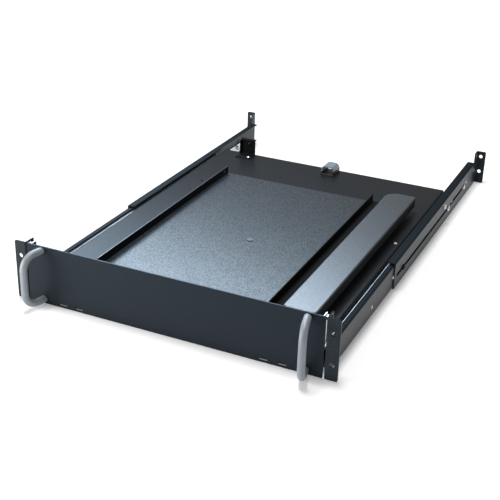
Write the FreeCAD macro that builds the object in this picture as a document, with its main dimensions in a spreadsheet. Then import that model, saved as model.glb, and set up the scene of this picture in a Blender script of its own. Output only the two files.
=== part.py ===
import FreeCAD, Part
import math
import os
from types import SimpleNamespace
import Sketcher
from FreeCAD import Rotation, Vector

# Rack keyboard drawer, two rack units high: bent steel rails with ears at both ends, telescopic
# ball slides, a sliding base, a fold-down front panel with bow handles, and a turning keyboard tray.
# Millimetres. X runs across the rack, Y from the front into the rack, Z up. The origin is the centre
# of the front rack holes on the rear face of the ears. Pieces are drawn from the panel's bottom edge
# up, and each piece's placement lowers it by half the panel's height.

doc = FreeCAD.newDocument("rack_keyboard_drawer")

# Driving dimensions
DIMENSIONS = {
    # rack interface
    "panel_width": 482.6, "panel_height": 88.1, "ear_width": 16.8, "rack_hole_inset": 8.75,
    "front_hole_rise": 44.45, "rear_hole_rise": 28.575, "rack_hole_radius": 3.4, "rack_depth": 757.0,
    # bent sheet
    "rail_sheet": 2.0, "panel_sheet": 2.0, "tray_sheet": 1.5, "inner_bend": 1.0, "sheet_overrun": 1.0,
    # rails
    "rail_flange": 8.5, "rail_end": 102.0, "rail_back_gap": 30.0, "ear_return": 16.5,
    "bend_relief": 4.0, "ear_corner": 2.5,
    "rear_rail_length": 487.0, "rear_rail_step": 1.5, "rear_flange": 13.0, "rear_ear_margin": 9.6,
    "rear_ear_return": 17.0, "slot_width": 6.4, "adjust_slot_inset": 9.0, "adjust_slot_length": 287.0,
    "adjust_screw_inset": 32.0, "adjust_screw_end": 3.5, "rail_screw_end": 26.0,
    "short_slot_back": 99.0, "short_slot_length": 81.0, "short_slot_rise": 2.0,
    "side_hole_y": 177.0, "side_hole_drop": 4.0, "side_hole_radius": 4.0,
    "spare_hole_back": 78.0, "spare_hole_rise": 8.0, "spare_hole_radius": 2.0,
    # telescopic slides
    "slide_start": 18.0, "slide_length": 545.0, "slide_depth": 12.7, "slide_height": 32.0,
    "slide_clearance": 1.25, "slide_drop": 0.25, "slide_wall": 1.3, "middle_wall": 1.2,
    "outer_lip": 9.5, "middle_lip": 11.2, "lip_hook": 1.0, "member_gap": 1.4,
    "ball_radius": 1.5, "ball_play": 0.1, "outer_hook_gap": 0.7, "inner_hook_gap": 0.2,
    "cage_sheet": 0.5, "cage_inset": 112.0, "cage_length": 310.0, "cage_end_margin": 20.0,
    "ball_hole_play": 0.1,
    # sliding base
    "base_overhang": 27.0, "base_side_bottom": 6.0, "base_end_bottom": 8.0,
    "floor_hole_inset": 34.8, "floor_hole_back": 160.0, "floor_hole_radius": 2.5,
    # front panel and hinges
    "panel_gap": 1.5, "panel_corner": 1.0, "hinge_inset": 68.0, "knuckle_length": 12.0,
    "hinge_middle": 14.0, "hinge_axis_y": 2.2, "hinge_axis_z": 4.4, "knuckle_radius": 1.8,
    "hinge_pin_radius": 0.9, "pin_play": 0.06, "leaf_sheet": 1.2, "leaf_height": 20.0,
    "hinge_end_gap": 0.3, "knuckle_relief": 0.5, "panel_slot_height": 4.4,
    # latches behind the panel's side edges
    "latch_top_gap": 1.6, "latch_height": 45.5, "latch_sheet": 1.5, "latch_play": 0.3,
    "latch_foot": 14.5, "latch_inset": 3.5, "latch_leg": 13.0, "latch_travel": 3.0,
    "nose_front": 5.0, "nose_back": 11.5, "nose_top_gap": 3.6, "nose_height": 5.0,
    "nose_clearance": 0.6, "window_margin": 1.0, "latch_stud_inset": 11.0, "latch_stud_rise": 9.0,
    "latch_stud_pitch": 22.0, "latch_stud_radius": 2.0, "latch_stud_head": 4.0, "latch_stud_sunk": 1.5,
    # handles
    "handle_inset": 24.0, "handle_edge": 6.5, "handle_radius": 5.2, "handle_reach": 33.0,
    "handle_lean": 7.5, "handle_bend": 20.0,
    # turning keyboard tray
    "pivot_x": 12.0, "pivot_from_front": 181.0, "pivot_radius": 3.2, "pivot_play": 0.06,
    "pivot_head_radius": 4.8, "pivot_head": 0.9, "washer_radius": 10.0, "nut_corner": 7.6, "nut_height": 5.6,
    "plate_rise": 11.5, "plate_margin": 70.8, "plate_front": 46.0, "plate_length": 411.0,
    "plate_lip": 13.0, "plate_corner": 12.0, "plate_tuck": 3.0, "lip_hole_from_end": 12.0,
    "lip_hole_rise": 7.2, "lip_hole_radius": 2.0, "stop_gap": 21.5, "stop_height": 13.0,
    "stop_foot": 14.0, "palm_inset": 16.8, "palm_width": 47.0, "palm_lead": 7.0,
    "palm_length": 436.0, "palm_height": 15.0, "palm_corner": 6.0, "palm_rear_corner": 20.0,
    "palm_round": 2.0,
    "ring_outer": 85.0, "ring_inner": 60.0, "ring_sheet": 2.0, "turn_play": 0.3,
    # cable fittings at the rear of the base
    "clip_left": -4.0, "clip_width": 24.0, "clip_depth": 30.0, "clip_back": 4.0, "clip_wall": 2.4,
    "clip_height": 16.5, "clip_seam": 8.4, "clip_lug": 2.6, "clip_pin_radius": 1.0,
    "clip_pin_drop": 0.4, "clip_round": 7.0, "cable_bracket_inset": 35.3, "cable_bracket_width": 28.5,
    "cable_bracket_foot": 23.0, "cable_bracket_height": 29.5, "cable_bracket_flange": 5.0,
    "cable_bracket_side": 5.0,
    "stud_inset": 6.8, "stud_from_front": 296.0, "stud_radius": 2.6, "stud_height": 2.0,
    # adjusting screws
    "screw_radius": 2.5, "screw_head_radius": 4.5, "screw_head": 2.6,
}

sheet = doc.addObject("Spreadsheet::Sheet", "sizes")


class Size:
    """A length from the sheet: the formula that binds it, and the value a sketch starts from."""

    def __init__(self, formula, value):
        self.formula = formula
        self.value = value

    def __add__(self, other):
        other = as_size(other)
        return Size(f"({self.formula} + {other.formula})", self.value + other.value)

    def __sub__(self, other):
        other = as_size(other)
        return Size(f"({self.formula} - {other.formula})", self.value - other.value)

    def __mul__(self, factor):
        return Size(f"({self.formula} * {factor:.9g})", self.value * factor)

    def __truediv__(self, divisor):
        return Size(f"({self.formula} / {divisor:.9g})", self.value / divisor)

    def __neg__(self):
        return Size(f"(0 - {self.formula})", -self.value)

    def __radd__(self, other):
        return as_size(other) + self

    def __rsub__(self, other):
        return as_size(other) - self

    __rmul__ = __mul__


def as_size(number):
    return number if isinstance(number, Size) else Size(f"({number:.9g})", float(number))


def smaller(first, second):
    return Size(f"min({first.formula}; {second.formula})", min(first.value, second.value))


def read_dimensions():
    named = {}
    for row, (alias, value) in enumerate(DIMENSIONS.items(), start=1):
        sheet.set(f"A{row}", alias)
        sheet.set(f"B{row}", str(value))
        sheet.setAlias(f"B{row}", alias)
        named[alias] = Size(f"sizes.{alias}", value)
    doc.recompute()
    return SimpleNamespace(**named)


d = read_dimensions()
drop = d.panel_height / 2

# Places that several pieces share
web_outside = d.panel_width / 2 - d.ear_width
web_inside = web_outside - d.rail_sheet
base_half = web_inside - d.slide_depth
panel_half = web_inside - d.panel_gap
rail_height = d.slide_height + (d.rail_sheet + d.slide_clearance) * 2
slide_level = rail_height / 2 - d.slide_drop
slide_end = d.slide_start + d.slide_length
front_rail_end = smaller(slide_end + d.rail_end, d.rack_depth - d.rail_back_gap)
rear_rail_start = d.rack_depth - d.rear_rail_length
rack_hole_x = d.panel_width / 2 - d.rack_hole_inset
rack_hole_low = d.panel_height / 2 - d.front_hole_rise / 2
outer_bend = d.rail_sheet + d.inner_bend
tray_bend = d.tray_sheet + d.inner_bend
adjust_slot_start = rear_rail_start + d.adjust_slot_inset
adjust_slot_end = adjust_slot_start + d.adjust_slot_length
adjust_screw_places = [adjust_slot_start + d.adjust_screw_inset,
                       smaller(adjust_slot_end - d.adjust_screw_end, front_rail_end - d.rail_screw_end)]
base_front = d.hinge_axis_y + d.knuckle_radius
base_rear = slide_end + d.base_overhang
floor_level = rail_height
floor_under = floor_level - d.tray_sheet
handle_x = panel_half - d.handle_inset
handle_levels = [d.handle_edge, d.panel_height - d.handle_edge]
latch_high = d.panel_height - d.latch_top_gap
latch_low = latch_high - d.latch_height
latch_stud_x = panel_half - d.latch_stud_inset
latch_stud_levels = [latch_low + d.latch_stud_rise, latch_low + d.latch_stud_rise + d.latch_stud_pitch]
nose_high = d.panel_height - d.nose_top_gap
nose_low = nose_high - d.nose_height
plate_level = floor_level + d.plate_rise
plate_under = plate_level - d.tray_sheet
plate_rear = d.plate_front + d.plate_length
pivot_y = d.plate_front + d.pivot_from_front
plate_left = d.plate_margin - base_half
palm_right = base_half - d.palm_inset
palm_left = palm_right - d.palm_width
palm_front = d.plate_front - d.palm_lead
plate_right = palm_right - d.plate_tuck
stop_face = palm_left - d.stop_gap

# Sketches, pads and pockets

def bind(thing, prop, length):
    thing.setExpression(prop, as_size(length).formula)


def new_body(label):
    body = doc.addObject("PartDesign::Body", label)
    body.Label = label
    bind(body, "Placement.Base.z", -drop)
    return body


def rectangle(x0, y0, x1, y1, corner=None):
    corners = [(x0, y0), (x1, y0), (x1, y1), (x0, y1)]
    return [point + (corner,) for point in corners] if corner else corners


def disc(x, y, radius):
    return SimpleNamespace(x=as_size(x), y=as_size(y), radius=as_size(radius))


def toward(point, other):
    """Axis direction, as whole numbers, from one corner of an outline to its neighbour."""
    dx = other[0].value - point[0].value
    dy = other[1].value - point[1].value
    return (math.copysign(1, dx), 0) if abs(dx) > abs(dy) else (0, math.copysign(1, dy))


def outline_pieces(points, closed):
    """Splits an outline into its straight stretches and the arcs at its rounded corners."""
    corners = [(as_size(p[0]), as_size(p[1]), as_size(p[2]) if len(p) > 2 else None) for p in points]
    count = len(corners)
    stops = []
    for i, (x, y, radius) in enumerate(corners):
        if radius is None:
            stops.append(SimpleNamespace(enter=(x, y), leave=(x, y), radius=None))
            continue
        back = toward((x, y), corners[i - 1])
        ahead = toward((x, y), corners[(i + 1) % count])
        enter = (x + radius * back[0], y + radius * back[1])
        leave = (x + radius * ahead[0], y + radius * ahead[1])
        centre = (enter[0] + radius * ahead[0], enter[1] + radius * ahead[1])
        turn = back[1] * ahead[0] - back[0] * ahead[1]
        stops.append(SimpleNamespace(enter=enter, leave=leave, centre=centre, radius=radius, turn=turn))
    pieces = []
    for i, stop in enumerate(stops):
        if stop.radius is not None:
            pieces.append(("arc", stop.enter, stop.leave, stop))
        following = stops[(i + 1) % count]
        if i == count - 1 and not closed:
            break
        length = math.dist([v.value for v in stop.leave], [v.value for v in following.enter])
        if length > 1e-6:
            pieces.append(("line", stop.leave, following.enter, None))
    return pieces


def as_vector(point):
    return Vector(point[0].value, point[1].value, 0)


def draw_outline(sketch, points, closed=True):
    drawn = []
    for kind, start, end, stop in outline_pieces(points, closed):
        if kind == "line":
            index = sketch.addGeometry(Part.LineSegment(as_vector(start), as_vector(end)), False)
            drawn.append((index, 1, 2, start, end, None))
            continue
        circle = Part.Circle(as_vector(stop.centre), Vector(0, 0, 1), stop.radius.value)
        first, last = (start, end) if stop.turn > 0 else (end, start)
        angles = [math.atan2(p[1].value - stop.centre[1].value, p[0].value - stop.centre[0].value)
                  for p in (first, last)]
        if angles[1] < angles[0]:
            angles[1] += 2 * math.pi
        index = sketch.addGeometry(Part.ArcOfCircle(circle, *angles), False)
        ends = (1, 2) if stop.turn > 0 else (2, 1)
        drawn.append((index, *ends, start, end, stop.radius))
    rules = []
    formulas = []
    for i, (index, begin, finish, start, end, radius) in enumerate(drawn):
        fixed = [(begin, start)]
        if i + 1 < len(drawn) or closed:
            following = drawn[(i + 1) % len(drawn)]
            rules.append(Sketcher.Constraint("Coincident", index, finish, following[0], following[1]))
            formulas.append(None)
        else:
            fixed.append((finish, end))
        for place, point in fixed:
            for word, coordinate in zip(("DistanceX", "DistanceY"), point):
                rules.append(Sketcher.Constraint(word, -1, 1, index, place, coordinate.value))
                formulas.append(coordinate.formula)
        if radius is not None:
            rules.append(Sketcher.Constraint("Radius", index, radius.value))
            formulas.append(radius.formula)
    add_rules(sketch, rules, formulas)


def draw_disc(sketch, circle):
    centre = Vector(circle.x.value, circle.y.value, 0)
    index = sketch.addGeometry(Part.Circle(centre, Vector(0, 0, 1), circle.radius.value), False)
    rules = [Sketcher.Constraint("DistanceX", -1, 1, index, 3, circle.x.value),
             Sketcher.Constraint("DistanceY", -1, 1, index, 3, circle.y.value),
             Sketcher.Constraint("Radius", index, circle.radius.value)]
    add_rules(sketch, rules, [circle.x.formula, circle.y.formula, circle.radius.formula])


def add_rules(sketch, rules, formulas):
    for index, formula in zip(sketch.addConstraint(rules), formulas):
        if formula is not None:
            sketch.setExpression(f"Constraints[{index}]", formula)


def new_sketch(body, plane, level):
    """A sketch on one of the body's origin planes, moved along that plane's world axis to level."""
    sketch = body.newObject("Sketcher::SketchObject", f"{body.Name}_sketch")
    origin_plane = next(f for f in body.Origin.OriginFeatures if f.Role == f"{plane}_Plane")
    sketch.AttachmentSupport = [(origin_plane, "")]
    sketch.MapMode = "FlatFace"
    bind(sketch, "AttachmentOffset.Base.z", -as_size(level) if plane == "XZ" else level)
    return sketch


def lean(sketch, rise, run):
    """Turns a sketch about the vertical by the slope of rise over run."""
    place = sketch.AttachmentOffset
    sketch.AttachmentOffset = FreeCAD.Placement(place.Base, FreeCAD.Rotation(Vector(0, 1, 0), 1))
    sketch.setExpression("AttachmentOffset.Rotation.Angle", f"atan(({rise.formula}) / ({run.formula}))")


def draw(sketch, shapes):
    for shape in shapes:
        if isinstance(shape, list):
            draw_outline(sketch, shape)
        else:
            draw_disc(sketch, shape)


def extrude(body, kind, plane, start, end, shapes, along_normal):
    sketch = new_sketch(body, plane, start)
    draw(sketch, shapes)
    feature = body.newObject(f"PartDesign::{kind}", f"{body.Name}_{kind.lower()}")
    feature.Profile = sketch
    bind(feature, "Length", as_size(end) - start)
    feature.Reversed = not along_normal
    return feature


def pad(body, plane, start, end, *shapes):
    """Adds material from start to end along the plane's world axis."""
    return extrude(body, "Pad", plane, start, end, shapes, plane != "XZ")


def pocket(body, plane, start, end, *shapes):
    """Cuts material from start to end along the plane's world axis."""
    doc.recompute()
    before = body.Shape.Volume
    feature = extrude(body, "Pocket", plane, start, end, shapes, plane == "XZ")
    doc.recompute()
    if body.Shape.Volume > before - 1e-6:
        raise RuntimeError(f"a cut in {body.Label} removes nothing")
    return feature


def round_corners(body, radius, along, x, y):
    """Rounds the corners of a sheet whose corner lines run along one axis through the middle x and y."""
    doc.recompute()
    tip = body.Tip
    names = []
    for number, edge in enumerate(tip.Shape.Edges, start=1):
        start, end = edge.firstVertex().Point, edge.lastVertex().Point
        parallel = abs(abs((end - start).dot(along)) - edge.Length) < 1e-6
        middle = (start + end) / 2
        if parallel and abs(middle.x - x.value) < 1e-6 and abs(middle.y - y.value) < 1e-6:
            names.append(f"Edge{number}")
    rounding = body.newObject("PartDesign::Fillet", f"{body.Name}_rounding")
    rounding.Base = (tip, names)
    bind(rounding, "Radius", radius)
    doc.recompute()


# Copies, groups and turned pieces

nodes = []


def keep(piece, label):
    piece.Label = label
    nodes.append(piece)
    return piece


def mirrored(piece, label):
    copy = doc.addObject("Part::Mirroring", label)
    copy.Source = piece
    copy.Normal = Vector(1, 0, 0)
    copy.Label = label
    return copy


def keep_pair(body, name):
    """Keeps a right-hand piece and its mirror image as two nodes."""
    keep(body, f"{name}_right")
    keep(mirrored(body, f"{name}_left"), f"{name}_left")


def group(label, pieces):
    compound = doc.addObject("Part::Compound", label)
    compound.Links = pieces
    return keep(compound, label)


def turned(name, place, direction, stages):
    """A turned piece along an axis: each stage is (radius, end radius, from, to) from the place."""
    made = []
    for first, last, begin, end in stages:
        straight = first is last
        solid = doc.addObject("Part::Cylinder" if straight else "Part::Cone", f"{name}_stage")
        for prop, value in ({"Radius": first} if straight else {"Radius1": first, "Radius2": last}).items():
            bind(solid, prop, value)
        bind(solid, "Height", as_size(end) - begin)
        solid.Placement = FreeCAD.Placement(Vector(), Rotation(Vector(0, 0, 1), Vector(*direction)))
        for axis, start, step in zip("xyz", (place[0], place[1], place[2] - drop), direction):
            bind(solid, f"Placement.Base.{axis}", as_size(start) + as_size(begin) * step)
        made.append(solid)
    if len(made) == 1:
        return made[0]
    fuse = doc.addObject("Part::MultiFuse", f"{name}_turned")
    fuse.Shapes = made
    return fuse


def headed_screw(name, place, direction, radius, head_radius, head, length):
    """A screw whose head stands on the surface at place and whose shank runs along direction."""
    return turned(name, place, direction, [(head_radius, head_radius, -head, as_size(0)),
                                           (radius, radius, as_size(0), length)])


# Front brackets: ear, return leg and C-section rail bent from one sheet

def front_bracket():
    body = new_body("front_bracket_right")
    flange_edge = web_outside - d.rail_flange
    top = rail_height
    section_start = d.ear_return + d.bend_relief
    pad(body, "XY", 0, d.panel_height,
        [(d.panel_width / 2, -d.rail_sheet), (d.panel_width / 2, 0), (web_outside, 0, d.inner_bend),
         (web_outside, d.ear_return), (web_inside, d.ear_return), (web_inside, -d.rail_sheet, outer_bend)])
    pad(body, "XZ", d.ear_return, section_start, rectangle(web_inside, 0, web_outside, top))
    pad(body, "XZ", section_start, front_rail_end,
        [(web_outside, 0, outer_bend), (web_outside, top, outer_bend),
         (flange_edge, top), (flange_edge, top - d.rail_sheet),
         (web_inside, top - d.rail_sheet, d.inner_bend), (web_inside, d.rail_sheet, d.inner_bend),
         (flange_edge, d.rail_sheet), (flange_edge, 0)])
    round_corners(body, d.ear_corner, Vector(0, 1, 0), d.panel_width / 2, -d.rail_sheet / 2)
    pocket(body, "XZ", -d.rail_sheet - d.sheet_overrun, d.sheet_overrun,
           disc(rack_hole_x, rack_hole_low, d.rack_hole_radius),
           disc(rack_hole_x, rack_hole_low + d.front_hole_rise, d.rack_hole_radius))
    pocket(body, "YZ", web_inside - d.sheet_overrun, web_outside + d.sheet_overrun,
           disc(d.side_hole_y, slide_level - d.side_hole_drop, d.side_hole_radius),
           rectangle(d.nose_front - d.window_margin, nose_low - d.window_margin,
                     d.nose_back + d.window_margin, nose_high + d.window_margin),
           *[disc(place, slide_level, d.screw_radius) for place in adjust_screw_places])
    keep_pair(body, "front_bracket")


# Rear brackets: slotted angle that slides over the front bracket, with the rear ear

def rear_bracket():
    body = new_body("rear_bracket_right")
    outside = web_outside + d.rail_sheet
    flange_edge = outside - d.rear_flange
    leg_start = d.rack_depth - d.rear_ear_return
    top = rail_height + d.rail_sheet + d.rear_rail_step
    ear_top = rack_hole_low + d.rear_hole_rise + d.rear_ear_margin
    pad(body, "XZ", rear_rail_start, leg_start,
        [(web_outside, 0), (outside, 0), (outside, top, outer_bend), (flange_edge, top),
         (flange_edge, top - d.rail_sheet), (web_outside, top - d.rail_sheet, d.inner_bend)])
    pad(body, "XY", 0, ear_top,
        [(web_outside, leg_start), (outside, leg_start), (outside, d.rack_depth - d.rail_sheet, d.inner_bend),
         (d.panel_width / 2, d.rack_depth - d.rail_sheet), (d.panel_width / 2, d.rack_depth),
         (web_outside, d.rack_depth, outer_bend)])
    round_corners(body, d.ear_corner, Vector(0, 1, 0), d.panel_width / 2, d.rack_depth - d.rail_sheet / 2)
    pocket(body, "XZ", d.rack_depth - d.rail_sheet - d.sheet_overrun, d.rack_depth + d.sheet_overrun,
           disc(rack_hole_x, rack_hole_low, d.rack_hole_radius),
           disc(rack_hole_x, rack_hole_low + d.rear_hole_rise, d.rack_hole_radius))
    half_slot = d.slot_width / 2
    short_slot_end = d.rack_depth - d.short_slot_back
    short_slot_level = slide_level + d.short_slot_rise
    pocket(body, "YZ", web_outside - d.sheet_overrun, outside + d.sheet_overrun,
           rectangle(adjust_slot_start, slide_level - half_slot, adjust_slot_end,
                     slide_level + half_slot, half_slot),
           rectangle(short_slot_end - d.short_slot_length, short_slot_level - half_slot, short_slot_end,
                     short_slot_level + half_slot, half_slot),
           disc(d.rack_depth - d.spare_hole_back, slide_level + d.spare_hole_rise, d.spare_hole_radius))
    keep_pair(body, "rear_bracket")


def adjusting_screws():
    """Two screws a side that clamp the rear bracket's slot to the front bracket."""
    outside = web_outside + d.rail_sheet
    screws = [headed_screw("adjusting_screw", (outside * side, y, slide_level), (-side, 0, 0),
                           d.screw_radius, d.screw_head_radius, d.screw_head, d.rail_sheet * 2)
              for side in (1, -1) for y in adjust_screw_places]
    group("adjusting_screws", screws)


# Telescopic slides: three nested channels with balls in cages between them. Each member is drawn by
# its distance in from the bracket's web and its height from the slide's middle.

outer_half = d.slide_height / 2
outer_race = outer_half - d.slide_wall
ball_room = (d.ball_radius + d.ball_play) * 2
middle_half = outer_race - ball_room
middle_race = middle_half - d.middle_wall
inner_half = middle_race - ball_room
middle_in = d.slide_wall + d.member_gap
outer_cage_in = d.slide_wall + (d.member_gap - d.cage_sheet) / 2
inner_cage_in = middle_in + d.middle_wall + (d.member_gap - d.cage_sheet) / 2
inner_lip_in = middle_in + d.middle_wall + d.member_gap
outer_ball_in = d.outer_lip - d.slide_wall - d.ball_radius - d.outer_hook_gap
inner_ball_in = d.middle_lip - d.middle_wall - d.ball_radius - d.inner_hook_gap
outer_ball_rise = outer_race - d.ball_play - d.ball_radius
inner_ball_rise = middle_race - d.ball_play - d.ball_radius
cage_start = d.slide_start + d.cage_inset
BALLS_PER_ROW = 2


def at_slide(inward, rise):
    return web_inside - inward, slide_level + rise


def hooked_channel(back, front, half, wall, hook):
    """C-section that opens into the rack, with hooked lips that hold the balls in."""
    upper = [(front, half), (front, half - wall - hook), (front - wall, half - wall - hook),
             (front - wall, half - wall)]
    corners = [(back, -half, wall), (back, half, wall), *upper,
               (back + wall, half - wall), (back + wall, wall - half),
               *[(x, -z) for x, z in reversed(upper)]]
    return [(*at_slide(p[0], p[1]), *p[2:]) for p in corners]


def plain_channel(back, tip, half, wall):
    """C-section with straight lips from its web at back to their tips."""
    step = wall if tip.value > back.value else -wall
    corners = [(back, -half), (back, half), (tip, half), (tip, half - wall), (back + step, half - wall),
               (back + step, wall - half), (tip, wall - half), (tip, -half)]
    return [at_slide(*p) for p in corners]


def slide_members():
    outer = new_body("outer_slide_right")
    pad(outer, "XZ", d.slide_start, slide_end,
        hooked_channel(as_size(0), d.outer_lip, outer_half, d.slide_wall, d.lip_hook))
    keep_pair(outer, "outer_slide")

    middle = new_body("middle_slide_right")
    pad(middle, "XZ", d.slide_start, slide_end,
        hooked_channel(middle_in, d.middle_lip, middle_half, d.middle_wall, d.lip_hook))
    keep_pair(middle, "middle_slide")

    inner = new_body("inner_slide_right")
    pad(inner, "XZ", d.slide_start, slide_end,
        plain_channel(d.slide_depth, inner_lip_in, inner_half, d.slide_wall))
    keep_pair(inner, "inner_slide")


def faceted_ball(name, place):
    """A ball with few faces, where eight-sided bars along the three axes meet."""
    bars = []
    for direction in ((1, 0, 0), (0, 1, 0), (0, 0, 1)):
        bar = doc.addObject("Part::Prism", f"{name}_bar")
        bar.Polygon = 8
        bind(bar, "Circumradius", d.ball_radius)
        bind(bar, "Height", d.ball_radius * 2)
        upright = Rotation(Vector(0, 0, 1), 22.5)
        bar.Placement = FreeCAD.Placement(Vector(), Rotation(Vector(0, 0, 1), Vector(*direction)) * upright)
        for axis, start, step in zip("xyz", (place[0], place[1], place[2] - drop), direction):
            bind(bar, f"Placement.Base.{axis}", as_size(start) - d.ball_radius * step)
        bars.append(bar)
    ball = doc.addObject("Part::MultiCommon", name)
    ball.Shapes = bars
    return ball


def ball_rows():
    first = cage_start + d.cage_end_margin
    pitch = (d.cage_length - d.cage_end_margin * 2) / (BALLS_PER_ROW - 1)
    return [first + pitch * i for i in range(BALLS_PER_ROW)]


def ball_cage(name, web_in, ball_in, rise):
    half = rise + d.cage_sheet / 2
    window = d.ball_radius + d.ball_hole_play
    window_middle = web_inside - ball_in
    tip = ball_in + window + d.cage_sheet
    cage = new_body(f"{name}_cage_right")
    pad(cage, "XZ", cage_start, cage_start + d.cage_length,
        plain_channel(web_in, tip, half, d.cage_sheet))
    pocket(cage, "XY", slide_level - half - d.sheet_overrun, slide_level + half + d.sheet_overrun,
           *[rectangle(window_middle - window, y - window, window_middle + window, y + window)
             for y in ball_rows()])
    keep_pair(cage, f"{name}_cage")
    balls = []
    for side in (1, -1):
        for row in (1, -1):
            for y in ball_rows():
                place = ((web_inside - ball_in) * side, y, slide_level + rise * row)
                balls.append(faceted_ball(f"{name}_ball", place))
    group(f"{name}_balls", balls)


# Sliding base: shallow pan turned upside down, with its flanges folded down

def base_tray():
    body = new_body("base_tray")
    inside = base_half - d.tray_sheet
    pad(body, "XZ", base_front, base_rear,
        [(-base_half, d.base_side_bottom), (-base_half, floor_level, tray_bend),
         (base_half, floor_level, tray_bend), (base_half, d.base_side_bottom),
         (inside, d.base_side_bottom), (inside, floor_under, d.inner_bend),
         (-inside, floor_under, d.inner_bend), (-inside, d.base_side_bottom)])
    end_wall = rectangle(-inside + d.bend_relief, d.base_end_bottom, inside - d.bend_relief, floor_under)
    pad(body, "XZ", base_front, base_front + d.tray_sheet, end_wall)
    pad(body, "XZ", base_rear - d.tray_sheet, base_rear, end_wall)
    pocket(body, "XY", floor_under - d.sheet_overrun, floor_level + d.sheet_overrun,
           disc(d.pivot_x, pivot_y, d.pivot_radius + d.pivot_play),
           disc(d.floor_hole_inset - base_half, base_rear - d.floor_hole_back, d.floor_hole_radius))
    keep(body, "base_tray")


# Front panel with hinges along its bottom edge, latches and bow handles

hinge_centre = panel_half - d.hinge_inset
knuckle_inner = hinge_centre - d.hinge_middle / 2
knuckle_outer = hinge_centre + d.hinge_middle / 2
hinge_left = knuckle_inner - d.knuckle_length
hinge_right = knuckle_outer + d.knuckle_length
knuckle_clear = d.hinge_axis_z + d.knuckle_radius + d.knuckle_relief


def front_panel():
    body = new_body("front_panel")
    front = -d.panel_sheet
    pad(body, "XZ", front, 0, rectangle(-panel_half, 0, panel_half, d.panel_height, d.panel_corner))
    half_slot = d.panel_slot_height / 2
    slots = []
    for side in (1, -1):
        for start, end in ((hinge_left, knuckle_inner), (knuckle_outer, hinge_right)):
            ends = sorted([start * side, end * side], key=lambda e: e.value)
            slots.append(rectangle(ends[0], d.hinge_axis_z - half_slot, ends[1], d.hinge_axis_z + half_slot))
    pocket(body, "XZ", front - d.sheet_overrun, d.sheet_overrun, *slots)
    pocket(body, "XZ", -d.latch_stud_sunk, d.sheet_overrun,
           *[disc(latch_stud_x * side, level, d.latch_stud_radius)
             for side in (1, -1) for level in latch_stud_levels])
    keep(body, "front_panel")


def hinges():
    axis = (d.hinge_axis_y, d.hinge_axis_z)
    leaf_top = d.hinge_axis_z + d.leaf_height
    back = d.hinge_axis_y + d.knuckle_radius

    fixed = new_body("hinge_base_leaf")
    pad(fixed, "XZ", back - d.leaf_sheet, back,
        [(hinge_left, d.hinge_axis_z), (knuckle_inner, d.hinge_axis_z), (knuckle_inner, knuckle_clear),
         (knuckle_outer, knuckle_clear), (knuckle_outer, d.hinge_axis_z), (hinge_right, d.hinge_axis_z),
         (hinge_right, leaf_top), (hinge_left, leaf_top)])
    for start, end in ((hinge_left, knuckle_inner), (knuckle_outer, hinge_right)):
        pad(fixed, "YZ", start, end, disc(*axis, d.knuckle_radius))
    pocket(fixed, "YZ", hinge_left - d.sheet_overrun, hinge_right + d.sheet_overrun,
           disc(*axis, d.hinge_pin_radius))
    group("hinge_base_leaves", [fixed, mirrored(fixed, "hinge_base_leaf_mirror")])

    swinging = new_body("hinge_panel_leaf")
    middle_start = knuckle_inner + d.hinge_end_gap
    middle_end = knuckle_outer - d.hinge_end_gap
    pad(swinging, "XZ", 0, d.leaf_sheet,
        [(middle_start, d.hinge_axis_z), (middle_end, d.hinge_axis_z), (middle_end, knuckle_clear),
         (hinge_right, knuckle_clear), (hinge_right, leaf_top), (hinge_left, leaf_top),
         (hinge_left, knuckle_clear), (middle_start, knuckle_clear)])
    pad(swinging, "YZ", middle_start, middle_end, disc(*axis, d.knuckle_radius))
    pocket(swinging, "YZ", middle_start - d.sheet_overrun, middle_end + d.sheet_overrun,
           disc(*axis, d.hinge_pin_radius + d.pin_play))
    group("hinge_panel_leaves", [swinging, mirrored(swinging, "hinge_panel_leaf_mirror")])

    pins = [turned("hinge_pin", (start, *axis), (1, 0, 0),
                   [(d.hinge_pin_radius, d.hinge_pin_radius, as_size(0), hinge_right - hinge_left)])
            for start in (hinge_left, -hinge_right)]
    group("hinge_pins", pins)


def latches():
    """Bent slides behind the panel's side edges, whose noses enter the windows of the ear's legs."""
    body = new_body("latch_right")
    edge = panel_half - d.latch_inset
    foot = edge - d.latch_foot
    back = d.latch_play + d.latch_sheet
    pad(body, "XY", latch_low, latch_high,
        [(foot, d.latch_play), (edge, d.latch_play, d.latch_sheet + d.inner_bend), (edge, d.latch_leg),
         (edge - d.latch_sheet, d.latch_leg), (edge - d.latch_sheet, back, d.inner_bend), (foot, back)])
    pad(body, "YZ", edge, web_inside - d.nose_clearance,
        rectangle(d.nose_front, nose_low, d.nose_back, nose_high, d.panel_corner))
    half_slot = d.latch_stud_radius + d.latch_play
    slots = [rectangle(latch_stud_x - half_slot - d.latch_travel, level - half_slot,
                       latch_stud_x + half_slot, level + half_slot, half_slot)
             for level in latch_stud_levels]
    pocket(body, "XZ", d.latch_play - d.sheet_overrun, back + d.sheet_overrun, *slots)
    keep_pair(body, "latch")
    head = back + d.latch_play
    studs = [turned("latch_stud", (latch_stud_x * side, as_size(0), level), (0, 1, 0),
                    [(d.latch_stud_radius, d.latch_stud_radius, -d.latch_stud_sunk, head),
                     (d.latch_stud_head, d.latch_stud_head, head, head + d.latch_sheet)])
             for side in (1, -1) for level in latch_stud_levels]
    group("latch_studs", studs)


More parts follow.
